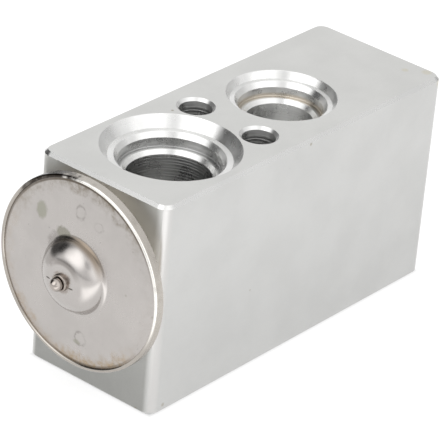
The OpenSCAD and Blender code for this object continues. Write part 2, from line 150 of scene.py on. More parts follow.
def carve(piece: Piece, tool: Piece) -> None:
    """Cuts a tool's shape out of a piece, and takes the tool away.

    Args:
        piece: The piece that is cut.
        tool: The cutting solid.
    """
    cut = piece.modifiers.new(tool.name, "BOOLEAN")
    cut.operation = "DIFFERENCE"
    cut.solver = "EXACT"
    cut.object = tool
    solid = bpy.data.meshes.new_from_object(piece.evaluated_get(bpy.context.evaluated_depsgraph_get()))
    piece.modifiers.remove(cut)
    piece.data = solid
    bpy.data.objects.remove(tool)


def shade(piece: Piece, crease: float) -> None:
    """Shades a piece smooth, apart from edges sharper than the crease angle.

    Args:
        piece: The piece.
        crease: Angle in degrees from which an edge stays sharp.
    """
    mesh = piece.data
    mesh.polygons.foreach_set("use_smooth", [True] * len(mesh.polygons))
    mesh.set_sharp_from_angle(angle=math.radians(crease))
    weighted = piece.modifiers.new("face_weights", "WEIGHTED_NORMAL")
    weighted.mode = "FACE_AREA"
    weighted.keep_sharp = True


def out_of_head(head_end: float, axis_z: float) -> Matrix:
    """Gives the turn and shift that stands local +Z out of the block's head end, on the valve's axis."""
    return Matrix.Translation((-head_end * MM, 0.0, axis_z * MM)) @ Matrix.Rotation(-math.pi / 2, 4, "Y")


def along_axis(axis_z: float) -> Matrix:
    """Gives the turn and shift that lays local +Z along the valve's axis, from the origin towards the screw."""
    return Matrix.Translation((0.0, 0.0, axis_z * MM)) @ Matrix.Rotation(math.pi / 2, 4, "Y")


def round_axis(turn: float) -> Triple:
    """Gives the way out from the head's axis at a turn in degrees, from +Z towards -Y."""
    return 0.0, -math.sin(math.radians(turn)), math.cos(math.radians(turn))


def dimmed(colour: Colour, share: float) -> Colour:
    """Gives a colour made darker, or lighter above 1."""
    return tuple(c * share for c in colour)


def rgba(value: object) -> object:
    """Gives a plain colour its alpha, and leaves an output as it is."""
    return (*value, 1.0) if isinstance(value, tuple) else value


class Graph:
    """A node tree while it is put together. A node takes plain values and the outputs of other nodes alike."""

    def __init__(self, tree: bpy.types.NodeTree) -> None:
        """Takes the tree that the nodes go into."""
        self.tree = tree

    def feed(self, socket: Socket, value: object) -> None:
        """Links an input to another node's output, or sets it.

        Args:
            socket: The input.
            value: The output or the plain value.
        """
        if isinstance(value, Socket):
            self.tree.links.new(value, socket)
        else:
            socket.default_value = value

    def add(self, kind: str, out: str | int, inputs: dict[str | int, object], **settings: object) -> Socket:
        """Adds a node.

        Args:
            kind: Type of the node.
            out: Name or number of the output that is wanted.
            inputs: What each input takes, by its name or number.
            settings: Properties of the node.

        Returns:
            The wanted output.
        """
        made = self.tree.nodes.new(kind)
        for key, value in settings.items():
            setattr(made, key, value)
        for key, value in inputs.items():
            self.feed(made.inputs[key], value)
        return made.outputs[out]

    def noise(self, place: Socket, scale: float, detail: float, roughness: float) -> Socket:
        """Gives the value of a noise pattern."""
        inputs = {"Vector": place, "Scale": scale, "Detail": detail, "Roughness": roughness}
        return self.add("ShaderNodeTexNoise", "Fac", inputs)

    def line_noise(self, value: Socket, scale: float, detail: float) -> Socket:
        """Gives the value of a noise pattern that runs along one value only."""
        inputs = {"W": value, "Scale": scale, "Detail": detail}
        return self.add("ShaderNodeTexNoise", "Fac", inputs, noise_dimensions="1D")

    def band(self, value: object, low: float, high: float, to_low: float = 0.0, to_high: float = 1.0,
             way: str = "SMOOTHSTEP") -> Socket:
        """Maps a value from one range to another, and clamps it."""
        ends = {"Value": value, "From Min": low, "From Max": high, "To Min": to_low, "To Max": to_high}
        return self.add("ShaderNodeMapRange", "Result", ends, clamp=True, interpolation_type=way)

    def calc(self, operation: str, *values: object) -> Socket:
        """Works out one step of arithmetic on values."""
        return self.add("ShaderNodeMath", 0, dict(enumerate(values)), operation=operation)

    def times(self, first: object, second: object) -> Socket:
        """Multiplies two values."""
        return self.calc("MULTIPLY", first, second)

    def plus(self, first: object, second: object) -> Socket:
        """Adds two values."""
        return self.calc("ADD", first, second)

    def gap(self, first: object, second: object) -> Socket:
        """Gives how far apart two values are."""
        return self.calc("ABSOLUTE", self.calc("SUBTRACT", first, second))

    def part(self, place: Socket, axis: str) -> Socket:
        """Gives one coordinate of a place."""
        return self.add("ShaderNodeSeparateXYZ", axis, {0: place})

    def vector(self, operation: str, *vectors: object, out: str = "Vector") -> Socket:
        """Works out one step of arithmetic on vectors."""
        return self.add("ShaderNodeVectorMath", out, dict(enumerate(vectors)), operation=operation)

    def length(self, place: Socket) -> Socket:
        """Gives the distance of a place from the pattern's origin."""
        return self.vector("LENGTH", place, out="Value")

    def dot(self, first: Socket, second: Triple) -> Socket:
        """Gives the dot product of two directions."""
        return self.vector("DOT_PRODUCT", first, second, out="Value")

    def blend(self, share: object, first: object, second: object) -> Socket:
        """Mixes two colours by a share from 0 to 1."""
        inputs = {0: share, 6: rgba(first), 7: rgba(second)}
        return self.add("ShaderNodeMix", 2, inputs, data_type="RGBA", clamp_factor=True)


class Recipe(Graph):
    """A node material while it is put together. Its patterns read Object coordinates in millimetres."""

    def __init__(self, name: str) -> None:
        """Starts a material with one Principled shader.

        Args:
            name: Name of the material.
        """
        self.material = bpy.data.materials.new(name)
        self.material.use_nodes = True
        super().__init__(self.material.node_tree)
        self.shader = next(n for n in self.tree.nodes if n.type == "BSDF_PRINCIPLED")

    def place(self, centre: Triple = (0.0, 0.0, 0.0), stretch: Triple = (1.0, 1.0, 1.0)) -> Socket:
        """Gives the place on the surface.

        Args:
            centre: Point in millimetres that becomes the pattern's origin.
            stretch: Factors along X, Y and Z. A small one draws the pattern out along that axis.

        Returns:
            The output with the place in stretched millimetres.
        """
        inputs = {
            "Vector": self.add("ShaderNodeTexCoord", "Object", {}),
            "Location": [-c * s for c, s in zip(centre, stretch)],
            "Scale": [s / MM for s in stretch],
        }
        return self.add("ShaderNodeMapping", "Vector", inputs, vector_type="POINT")

    def rounded_edge(self) -> Socket:
        """Finds the round of an upright edge.

        Returns:
            1 on the round and 0 on the flats beside it.
        """
        facing = self.add("ShaderNodeTexCoord", "Normal", {})
        product = self.times(self.part(facing, "X"), self.part(facing, "Y"))
        return self.band(self.calc("ABSOLUTE", product), 0.1, 0.48)

    def lathe_marks(self, axis: Triple, centre: Triple, pull: float) -> None:
        """Draws the gloss out across a turning tool's marks.

        Args:
            axis: Axis that the surface was turned about.
            centre: A point on that axis, in millimetres.
            pull: Strength, from 0 to 1.
        """
        along = self.vector("CROSS_PRODUCT", axis, self.place(centre=centre))
        self.feed(self.shader.inputs["Tangent"], self.vector("NORMALIZE", along))
        self.shader.inputs["Anisotropic"].default_value = pull
        self.shader.inputs["Anisotropic Rotation"].default_value = 0.25

    def relief(self, height: Socket, depth: float, strength: float, under: Socket | None = None) -> Socket:
        """Adds a bump.

        Args:
            height: Height from 0 to 1.
            depth: What a height of 1 means, in millimetres.
            strength: Strength of the bump.
            under: Normal of a coarser bump below this one.

        Returns:
            The new normal.
        """
        inputs = {"Strength": strength, "Distance": depth * MM, "Height": height}
        if under is not None:
            inputs["Normal"] = under
        return self.add("ShaderNodeBump", "Normal", inputs)

    def finish(self, colour: object, roughness: object, normal: Socket | None = None, metallic: float = 1.0,
               specular: float = 0.5) -> Material:
        """Feeds the shader.

        Args:
            colour: Base colour.
            roughness: Roughness, from 0 to 1.
            normal: Bumped normal, if there is one.
            metallic: 1 for a metal and 0 for anything else.
            specular: Strength of the gloss on what isn't a metal.

        Returns:
            The finished material.
        """
        inputs = {"Base Color": rgba(colour), "Roughness": roughness, "Metallic": metallic,
                  "Specular IOR Level": specular}
        if normal is not None:
            inputs["Normal"] = normal
        for key, value in inputs.items():
            self.feed(self.shader.inputs[key], value)
        return self.material


@dataclass(frozen=True)
class Speck:
    """A small mark at a fixed place on a surface, in millimetres."""

    centre: Triple
    radius: float
    depth: float
    colour: Colour


@dataclass(frozen=True)
class MachinedAluminium:
    """Satin aluminium with fine tool marks, faint blotches and a few pits, painted shade towards its lower edge and a
    painted highlight on its rounded upright edges.
    """

    name: str
    lay: Lay
    colour: Colour = (0.65, 0.65, 0.635)
    edge_highlight: Colour = (0.67, 0.67, 0.655)
    gloss: Pair = (0.3, 0.4)
    mark_depth: float = 0.004
    grime_and_shade: Colour = (0.02, 0.02, 0.018)
    low_shade_z: Pair = (8.0, 40.0)
    low_shade_share: float = 0.0
    pull: float = 0.0
    specks: tuple[Speck, ...] = ()

    def material(self) -> Material:
        """Builds the node material.

        Returns:
            The material.
        """
        r = Recipe(self.name)
        place = r.place()
        lines = r.noise(r.place(stretch=self.lay.value), 7.0, 4.0, 0.65)
        cloud = r.noise(place, 0.09, 4.0, 0.55)
        grain = r.noise(place, 2.6, 3.0, 0.6)
        colour = r.blend(r.band(cloud, 0.35, 0.68), self.colour, dimmed(self.colour, 0.955))
        colour = r.blend(r.band(lines, 0.42, 0.75, 0.0, 0.3), colour, dimmed(self.colour, 0.92))
        # Painted shade: the colour darkens towards the lower edge, with a cloudy border.
        low_shade = r.band(r.plus(r.part(place, "Z"), r.times(cloud, 8.0)), *self.low_shade_z, self.low_shade_share, 0.0)
        colour = r.blend(low_shade, colour, self.grime_and_shade)
        # Painted highlight: the rounded upright edges are lighter.
        colour = r.blend(r.rounded_edge(), colour, self.edge_highlight)
        pits = r.band(r.noise(place, 0.9, 2.0, 0.5), 0.79, 0.83)
        colour = r.blend(r.times(pits, 0.5), colour, dimmed(self.colour, 0.55))
        for speck in self.specks:
            spot = r.band(r.length(r.place(centre=speck.centre)), speck.radius * 0.4, speck.radius, speck.depth, 0.0)
            colour = r.blend(spot, colour, speck.colour)
        rough = r.band(r.times(r.plus(cloud, grain), 0.5), 0.3, 0.7, *self.gloss)
        if self.pull:
            r.lathe_marks((0.0, 1.0, 0.0), (1000.0, 0.0, 0.0), self.pull)
        return r.finish(colour, rough, r.relief(lines, self.mark_depth, 0.5))


@dataclass(frozen=True)
class BoredAluminium:
    """Bright aluminium turned by a boring tool, with rings square to the bore's axis, and painted shade on its rings,
    deep in the bore and in the throat's corner.
    """

    name: str
    centre: Triple
    axis: str = "Z"
    middle: float = 21.2
    ringed: float = 15.6
    corner: Pair = (0.0, 0.0)
    corner_shade: float = 0.6
    residue_and_shade: Colour = (0.2, 0.2, 0.2)
    deep_shade: float = 0.0
    colour: Colour = (0.82, 0.82, 0.81)
    gloss: Pair = (0.24, 0.34)
    pitch: float = 0.6
    ring_depth: float = 0.05
    ring_shade: float = 0.45
    pull: float = 0.85

    def material(self) -> Material:
        """Builds the node material.

        Returns:
            The material.
        """
        r = Recipe(self.name)
        place = r.place(centre=self.centre)
        depth = r.part(place, self.axis)
        across = (0.0, 1.0, 1.0) if self.axis == "X" else (1.0, 1.0, 0.0)
        bore_way = tuple(1.0 - part for part in across)
        flat = r.vector("MULTIPLY", place, across)
        radius = r.length(flat)
        step = r.plus(r.times(depth, FULL_TURN / self.pitch), r.times(r.line_noise(depth, 0.9, 2.0), 5.0))
        from_middle = r.gap(depth, self.middle)
        deep = r.band(from_middle, self.ringed - 0.6, self.ringed, 1.0, 0.0)
        ring = r.times(r.band(r.calc("SINE", step), -1.0, 1.0, way="LINEAR"), deep)
        fine = r.line_noise(r.plus(depth, r.times(radius, 1.7)), 6.0, 4.0)
        streak = r.noise(r.vector("NORMALIZE", flat), 3.4, 3.0, 0.6)
        cloud = r.noise(place, 0.3, 4.0, 0.6)
        colour = r.blend(r.band(cloud, 0.35, 0.7), self.colour, dimmed(self.colour, 0.95))
        colour = r.blend(r.band(streak, 0.4, 0.72, 0.0, 0.2), colour, dimmed(self.colour, 0.8))
        colour = r.blend(r.times(deep, self.deep_shade), colour, dimmed(self.colour, 0.3))
        colour = r.blend(r.times(ring, self.ring_shade), colour, dimmed(self.colour, 0.4))
        colour = r.blend(r.band(fine, 0.4, 0.75, 0.0, 0.2), colour, dimmed(self.colour, 0.75))
        # Painted shade in the throat's corner, with a brown residue tone in the inlet's.
        if self.corner[0]:
            away = {0: r.calc("SUBTRACT", radius, self.corner[0]), 1: r.calc("SUBTRACT", from_middle, self.corner[1])}
            left = r.band(r.length(r.add("ShaderNodeCombineXYZ", 0, away)), 0.3, 1.0, self.corner_shade, 0.0)
            colour = r.blend(left, colour, self.residue_and_shade)
        r.lathe_marks(bore_way, self.centre, self.pull)
        return r.finish(colour, r.band(cloud, 0.3, 0.7, *self.gloss), r.relief(ring, self.ring_depth, 0.9))


@dataclass(frozen=True)
class Stain:
    """A mark on the power head's face: a soft spot, or a ring where its hole is above 0."""

    y: float
    z: float
    width: float
    height: float
    strength: float
    colour: Colour
    hole: float = 0.0


@dataclass(frozen=True)
class Burn:
    """A tinted part of the cover: on its rim, or on a ring where ring_r is above 0. Rim tints are heat tint and
    scuffs; ring tints are painted shade along the weld seam and painted reflections on the dome.
    """

    turn: float
    spread: float
    strength: float
    tone: Colour = (0.36, 0.27, 0.17)
    ring_r: float = 0.0
    ring_w: float = 0.34


@dataclass(frozen=True)
class WeldedStainless:
    """Drawn stainless sheet: a bright dome, a satin face and a rim browned by the weld, with stains, painted shade
    along the weld seam and painted reflections as dark rings on the dome.
    """

    name: str
    axis_z: float
    face_x: float
    rim_r: float
    colour: Colour = (0.48, 0.455, 0.437)
    gloss: Pair = (0.26, 0.36)
    dome_gloss: float = 0.2
    dome_r: float = 8.6
    tints: tuple[Burn, ...] = ()
    stains: tuple[Stain, ...] = ()

    def material(self) -> Material:
        """Builds the node material.

        Returns:
            The material.
        """
        r = Recipe(self.name)
        centre = (self.face_x, 0.0, self.axis_z)
        flat = r.place(centre=centre, stretch=(0.0, 1.0, 1.0))
        place = r.place(centre=centre)
        radius = r.length(flat)
        facing = r.vector("NORMALIZE", flat)
        cloud = r.noise(place, 0.16, 5.0, 0.6)
        grain = r.noise(place, 3.2, 3.0, 0.6)
        colour = r.blend(r.band(cloud, 0.38, 0.66), self.colour, dimmed(self.colour, 0.95))
        reach = r.plus(radius, r.band(r.noise(place, 0.5, 4.0, 0.65), 0.25, 0.75, -1.3, 1.3))
        rim = r.band(reach, self.rim_r - 3.0, self.rim_r + 0.3)
        patchy = r.times(rim, r.band(r.noise(place, 0.7, 4.0, 0.7), 0.36, 0.6, 0.35, 1.0))
        # Heat tint and scuffs on the rim; the ring tints are painted shade along the weld seam and painted
        # reflections on the dome.
        for tint in self.tints:
            zone = patchy
            if tint.ring_r:
                zone = r.band(r.gap(radius, tint.ring_r), tint.ring_w * 0.25, tint.ring_w, 1.0, 0.0)
            toward = r.dot(facing, round_axis(tint.turn))
            turn_share = r.band(toward, math.cos(math.radians(tint.spread)), 1.0, 0.0, tint.strength)
            colour = r.blend(r.times(turn_share, zone), colour, tint.tone)
        frayed = r.band(r.noise(place, 1.3, 4.0, 0.65), 0.25, 0.75, -0.15, 0.15)
        broken = r.band(r.noise(place, 0.6, 2.0, 0.5), 0.42, 0.58, 0.3, 1.0)
        for stain in self.stains:
            spot = r.length(r.place(centre=(self.face_x, stain.y, stain.z),
                                    stretch=(0.0, 2.0 / stain.width, 2.0 / stain.height)))
            spot = r.plus(spot, frayed)
            share = r.band(spot, 0.68, 1.15, stain.strength, 0.0)
            if stain.hole:
                share = r.times(share, r.band(spot, stain.hole - 0.25, stain.hole + 0.05))
                share = r.times(share, broken)
            colour = r.blend(share, colour, stain.colour)
        pits = r.band(r.noise(place, 1.1, 2.0, 0.5), 0.75, 0.8)
        pits = r.calc("MAXIMUM", pits, r.times(r.band(r.noise(place, 1.6, 3.0, 0.6), 0.62, 0.72), rim))
        colour = r.blend(r.times(pits, 0.6), colour, dimmed(self.colour, 0.5))
        rough = r.band(r.times(r.plus(cloud, grain), 0.5), 0.3, 0.7, *self.gloss)
        drawn = r.band(radius, self.dome_r - 1.6, self.dome_r)
        rough = r.calc("MULTIPLY_ADD", drawn, r.calc("SUBTRACT", rough, self.dome_gloss), self.dome_gloss)
        return r.finish(colour, rough, r.relief(grain, 0.003, 0.4, r.relief(cloud, 0.05, 0.2)))


@dataclass(frozen=True)
class WeldRim:
    """Edge of the welded stack: a dull tone round most of it, with a painted highlight on its upper right and a
    painted dark reflection at its upper left.
    """

    name: str
    axis_z: float
    face_x: float
    bright: Colour
    dull: Colour
    dark_reflection: Colour = (0.035, 0.028, 0.022)
    bright_turn: float = 42.0
    bright_reach: Pair = (78.0, 38.0)
    dark_reflection_turn: float = -27.0
    dark_reflection_reach: Pair = (27.0, 12.0)
    gloss: Pair = (0.06, 0.16)

    def material(self) -> Material:
        """Builds the node material.

        Returns:
            The material.
        """
        r = Recipe(self.name)
        place = r.place(centre=(self.face_x, 0.0, self.axis_z))
        facing = r.vector("NORMALIZE", r.vector("MULTIPLY", place, (0.0, 1.0, 1.0)))
        cloud = r.noise(place, 0.35, 4.0, 0.6)
        ripple = r.noise(place, 1.8, 3.0, 0.5)
        colour: object = self.dull
        # Painted highlight on the upper right and painted dark reflection at the upper left, over the dull tone.
        for turn, reach, tone in ((self.bright_turn, self.bright_reach, self.bright),
                                  (self.dark_reflection_turn, self.dark_reflection_reach, self.dark_reflection)):
            near = r.plus(r.dot(facing, round_axis(turn)), r.band(cloud, 0.3, 0.7, -0.06, 0.06))
            colour = r.blend(r.band(near, *(math.cos(math.radians(a)) for a in reach)), colour, tone)
        colour = r.blend(r.band(cloud, 0.48, 0.72, 0.0, 0.4), colour, dimmed(self.dull, 0.8))
        return r.finish(colour, r.band(ripple, 0.3, 0.7, *self.gloss), r.relief(ripple, 0.03, 0.3))


@dataclass(frozen=True)
class TurnedMetal:
    """Bar metal turned in a lathe, such as steel or brass, with rings square to X."""

    name: str
    colour: Colour
    gloss: Pair = (0.18, 0.32)
    pitch: float = 0.35
    ring_depth: float = 0.006

    def material(self) -> Material:
        """Builds the node material.

        Returns:
            The material.
        """
        r = Recipe(self.name)
        place = r.place()
        wobble = r.noise(place, 0.5, 3.0, 0.5)
        step = r.times(r.part(place, "X"), FULL_TURN / self.pitch)
        ring = r.band(r.calc("SINE", r.plus(step, r.times(wobble, 3.0))), -1.0, 1.0, way="LINEAR")
        colour = r.blend(r.band(wobble, 0.35, 0.7), self.colour, dimmed(self.colour, 0.8))
        return r.finish(colour, r.band(wobble, 0.3, 0.7, *self.gloss), r.relief(ring, self.ring_depth, 0.6))


@dataclass(frozen=True)
class RolledSteel:
    """Rolled or drawn steel, such as strip, wire and balls, with a soft grain."""

    name: str
    colour: Colour
    gloss: Pair = (0.2, 0.34)
    grain_scale: float = 2.5

    def material(self) -> Material:
        """Builds the node material.

        Returns:
            The material.
        """
        r = Recipe(self.name)
        place = r.place()
        grain = r.noise(place, self.grain_scale, 4.0, 0.6)
        cloud = r.noise(place, self.grain_scale / 8.0, 3.0, 0.5)
        colour = r.blend(r.band(cloud, 0.35, 0.7), self.colour, dimmed(self.colour, 0.78))
        return r.finish(colour, r.band(grain, 0.3, 0.7, *self.gloss), r.relief(grain, 0.004, 0.6))


@dataclass(frozen=True)
class MouldedRubber:
    """Dark seal rubber with a faint oily sheen."""

    name: str
    colour: Colour = (0.018, 0.028, 0.022)
    gloss: Pair = (0.38, 0.6)

    def material(self) -> Material:
        """Builds the node material.

        Returns:
            The material.
        """
        r = Recipe(self.name)
        place = r.place()
        grain = r.noise(place, 3.0, 4.0, 0.6)
        cloud = r.noise(place, 0.4, 3.0, 0.5)
        colour = r.blend(r.band(cloud, 0.35, 0.7), self.colour, dimmed(self.colour, 1.8))
        return r.finish(colour, r.band(grain, 0.3, 0.7, *self.gloss), r.relief(grain, 0.01, 0.5), metallic=0.0)


def dress(piece: Piece, *materials: Material) -> None:
    """Gives a piece or CAD node these materials in place of any it has. Each face keeps its index.

    Args:
        piece: The piece or CAD node.
        materials: One material for each slot.
    """
    mesh = piece.data
    indices = [face.material_index if len(materials) > 1 else 0 for face in mesh.polygons]
    mesh.materials.clear()
    for material in materials:
        mesh.materials.append(material)
    mesh.polygons.foreach_set("material_index", indices)


def settle(piece: Piece, body: Body, slot: str, *nodes: str) -> None:
    """Puts a finished piece on its body and hides the CAD nodes that it stands for.

    Args:
        piece: The finished piece.
        body: The body that it rides on.
        slot: Material slot of the record that it takes its finish from. It is not used.
        nodes: CAD nodes that it replaces.
    """
    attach(piece, body.value)
    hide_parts(*nodes)
    log.info("%s: %d faces", piece.name, len(piece.data.polygons))


def flexing(node: str, name: str, moving: Body, still_x: float, moved_x: float) -> Piece:
    """Makes a piece in the shape of a CAD node, as a copy of its mesh, for a springy part between the valve and a
    moving body.

    Args:
        node: CAD node that the piece takes its shape from and replaces.
        name: Name of the new piece.
        moving: Body that its far end follows. It is not used.
        still_x: Place along X up to which it stays with the valve, in millimetres. It is not used.
        moved_x: Place along X from which it follows the moving body, in millimetres. It is not used.

    Returns:
        The new piece.
    """
    bm = bmesh.new()
    bm.from_mesh(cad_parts[node].data)
    bmesh.ops.remove_doubles(bm, verts=bm.verts, dist=MERGE_MM * MM)
    piece = link_mesh(name, bm)
    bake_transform(piece)
    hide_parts(node)
    return piece


@dataclass(frozen=True)
class PortForm:
    """Turned form of a port, in millimetres, from its face inwards."""

    bore_r: float
    socket: float
    flare_w: float
    flare_h: float
    seat_w: float
    lip_w: float = 0.7
    lip_h: float = 1.0
    throat_w: float = 1.6
    throat_h: float = 1.8
    throat_r: float = 0.18
    lead_w: float = 0.6
    lead_h: float = 0.8
    edge: float = 0.06

    def outline(self) -> Outline:
        """Gives the port's outline.

        Returns:
            Its (radius, depth) pairs from the port's face down to the socket's floor edge.
        """
        wall_r = self.bore_r + self.throat_w
        lip_r = wall_r + self.lip_w
        seat_r = lip_r + self.seat_w
        mouth_r = seat_r + self.flare_w
        lip_z = self.flare_h + self.lip_h
        floor_z = lip_z + self.throat_h
        return [
            (mouth_r + self.edge, 0.0),
            (mouth_r - self.edge, self.edge * 1.6),
            (seat_r, self.flare_h),
            (lip_r + self.edge, self.flare_h),
            (lip_r - self.edge * 0.5, self.flare_h + self.edge),
            (wall_r, lip_z),
            *arc((wall_r - self.throat_r, floor_z - self.throat_r), self.throat_r, 0.0, 90.0, 6),
            (self.bore_r + self.lead_w, floor_z),
            (self.bore_r, floor_z + self.lead_h),
            (self.bore_r, self.socket),
        ]


@dataclass
class ValveBlock:
    """The machined block, rebuilt finely from the CAD model's sizes, in millimetres.

    A bore on the valve's axis has its radius, and the place along X that it ends at.
    """

    width: float = 30.0
    height: float = 42.4
    head_end: float = 33.8
    screw_end: float = 45.8
    edge_r: float = 2.4
    edge_c: float = 0.6
    edge_steps: int = 14
    axis_z: float = 25.1
    bolt_r: float = 3.1
    bolt_pitch: float = 15.0
    bolt_c: float = 0.55
    suction_x: float = 15.5
    suction_pass_r: float = 7.2
    inlet_x: float = 15.6
    outlet_x: float = 12.6
    outlet_pass_r: float = 3.7
    outlet_pass_end: float = 28.8
    drill_x: float = 19.45
    drill_r: float = 2.2
    drill_z: Pair = (10.0, 12.9)
    pocket_r: float = 13.89
    pocket_h: float = 1.0
    neck_bore: Pair = (12.05, -27.3)
    stem_way_r: float = 4.8
    seal_pocket: Pair = (4.9, -4.6)
    stem_guide: Pair = (3.05, 3.4)
    pin_guide_r: float = 1.25
    orifice: Pair = (1.9, 18.5)
    seat: Pair = (2.4, 19.0)
    chamber: Pair = (5.5, 34.0)
    spigot_bore: Pair = (6.3, 38.6)
    screw_bore_r: float = 7.05
    screw_mouth_r: float = 8.05
    screw_mouth_c: float = 0.5
    thread_x: float = 39.1
    thread_pitch: float = 1.0
    thread_depth: float = 0.5
    spare: float = 1.0
    suction: PortForm = field(default_factory=lambda: PortForm(7.85, 12.0, 1.6, 2.1, 1.15))
    inlet: PortForm = field(default_factory=lambda: PortForm(6.35, 10.9, 0.8, 1.35, 0.9))
    outlet: PortForm = field(default_factory=lambda: PortForm(6.35, 13.0, 0.8, 1.35, 0.9))

    FACE, SIDE, END, CHAMFER, SUCTION, INLET, OUTLET, BOLT_LEFT, BOLT_RIGHT, AXIAL = range(10)
    LEVEL, SLOPED, END_ON = 0.9, 0.3, 0.85

    def body(self) -> Piece:
        """Shapes the bare block: rounded upright edges and a chamfer round each port face.

        Returns:
            The bare block.
        """
        bm = bmesh.new()
        bmesh.ops.create_cube(bm, size=1.0)
        length = self.head_end + self.screw_end
        bmesh.ops.scale(bm, vec=(length * MM, self.width * MM, self.height * MM), verts=bm.verts)
        middle = ((self.screw_end - self.head_end) / 2.0 * MM, 0.0, self.height / 2.0 * MM)
        bmesh.ops.translate(bm, vec=middle, verts=bm.verts)
        upright = [e for e in bm.edges if abs(e.verts[0].co.z - e.verts[1].co.z) > MM]
        bmesh.ops.bevel(bm, geom=upright, offset=self.edge_r * MM, offset_type="OFFSET", segments=self.edge_steps,
                        profile=0.5, affect="EDGES", material=-1)
        caps = [f for f in bm.faces if abs(f.normal.z) > self.LEVEL]
        rims = list({e for f in caps for e in f.edges})
        bmesh.ops.bevel(bm, geom=rims, offset=self.edge_c * MM, offset_type="OFFSET", segments=1,
                        profile=0.5, affect="EDGES", material=-1)
        for face in bm.faces:
            turn = face.normal
            if abs(turn.z) > self.LEVEL:
                face.material_index = self.FACE
            elif abs(turn.z) > self.SLOPED:
                face.material_index = self.CHAMFER
            elif abs(turn.x) > self.END_ON:
                face.material_index = self.END
            else:
                face.material_index = self.SIDE
        return link_mesh("valve_block_machined", bm)

    def cutter(self, name: str, outline: Outline, index: int, placed: Matrix, steps: int) -> Piece:
        """Spins a cutting solid.

        Args:
            name: Name of the cutter.
            outline: Closed outline of (radius, height) pairs.
            index: Material index that its cut surface gets.
            placed: Turn and shift into the block.
            steps: Number of steps round its axis.

        Returns:
            The cutter's object.
        """
        bm = turned(outline, steps)
        for face in bm.faces:
            face.material_index = index
        return link_mesh(name, bm, placed)

    def upper(self, x: float) -> Matrix:
        """Gives the place of a port in the upper face, with local +Z pointing down into the block."""
        return Matrix.Translation((x * MM, 0.0, self.height * MM)) @ Matrix.Rotation(math.pi, 4, "X")

    def lower(self, x: float, y: float = 0.0) -> Matrix:
        """Gives the place of a port in the lower face, with local +Z pointing up into the block."""
        return Matrix.Translation((x * MM, y * MM, 0.0))

    def through(self, mouth: Outline) -> Outline:
        """Gives the outline of a hole through the block's height, with the same mouth at both ends."""
        half = [(0.0, -self.spare), (mouth[0][0], -self.spare), *mouth]
        return half + [(r, self.height - z) for r, z in reversed(half)]

    def blind(self, form: PortForm, *passage: Pair) -> Outline:
        """Gives the outline of a port that ends in its socket's floor, or in the passage given after it."""
        rim = form.outline()
        return [(0.0, -self.spare), (rim[0][0], -self.spare), *rim, *(passage or [(0.0, form.socket)])]

    def axial(self) -> Outline:
        """Gives the outline of all the bores on the valve's axis, from the power head to the screw's mouth.

        Returns:
            The closed outline.
        """
        start = -self.head_end - self.spare
        ahead = stepped(start, (self.pocket_r, self.pocket_h - self.head_end), self.neck_bore,
                        (self.stem_way_r, -self.suction_x), self.seal_pocket, self.stem_guide,
                        (self.pin_guide_r, self.outlet_x), self.orifice)
        behind = stepped(self.seat[1], self.chamber, self.spigot_bore)
        thread: Outline = []
        x = self.thread_x
        while x < self.screw_end - self.thread_pitch:
            thread += [(self.screw_bore_r, x), (self.screw_bore_r + self.thread_depth, x + self.thread_pitch / 2.0)]
            x += self.thread_pitch
        return [
            (0.0, start), *ahead, self.seat, *behind, (self.screw_bore_r, self.spigot_bore[1]), *thread,
            (self.screw_bore_r, self.screw_end - self.screw_mouth_c),
            (self.screw_mouth_r, self.screw_end + self.screw_mouth_c),
            (self.screw_mouth_r, self.screw_end + self.spare), (0.0, self.screw_end + self.spare),
        ]

    def cutters(self) -> list[Piece]:
        """Makes every cutter of the block.

        Returns:
            The cutters, in the order of the cuts.
        """
        half = self.bolt_pitch / 2.0
        suction = self.through([*self.suction.outline(), (self.suction_pass_r, self.suction.socket)])
        drill = [(r, z) for z, row in zip(self.drill_z, ((0.0, self.drill_r), (self.drill_r, 0.0))) for r in row]
        outlet = self.blind(self.outlet, (self.outlet_pass_r, self.outlet.socket),
                            (self.outlet_pass_r, self.outlet_pass_end), (0.0, self.outlet_pass_end))
        bolt = self.through([(self.bolt_r + self.bolt_c, 0.0), (self.bolt_r, self.bolt_c)])
        return [
            self.cutter("cut_suction", suction, self.SUCTION, self.upper(-self.suction_x), 240),
            self.cutter("cut_inlet", self.blind(self.inlet), self.INLET, self.upper(self.inlet_x), 216),
            self.cutter("cut_drilling", drill, self.INLET, self.upper(self.drill_x), 64),
            self.cutter("cut_outlet", outlet, self.OUTLET, self.lower(self.outlet_x), 216),
            self.cutter("cut_bolt_left", bolt, self.BOLT_LEFT, self.lower(0.0, half), 96),
            self.cutter("cut_bolt_right", bolt, self.BOLT_RIGHT, self.lower(0.0, -half), 96),
            self.cutter("cut_axis", self.axial(), self.AXIAL, along_axis(self.axis_z), 144),
        ]

    def build(self) -> None:
        """Cuts the block, and gives it its finishes."""
        block = self.body()
        finishes = self.finishes()
        dress(block, *finishes)
        for tool in self.cutters():
            dress(tool, *finishes)
            carve(block, tool)
        shade(block, 18.0)
        settle(block, Body.VALVE, "block_aluminium", "valve_block")

    def corner(self, form: PortForm) -> Pair:
        """Gives a port's throat corner, as its radius and its distance from the block's mid height."""
        return form.bore_r + form.throat_w, self.height / 2.0 - form.flare_h - form.lip_h - form.throat_h

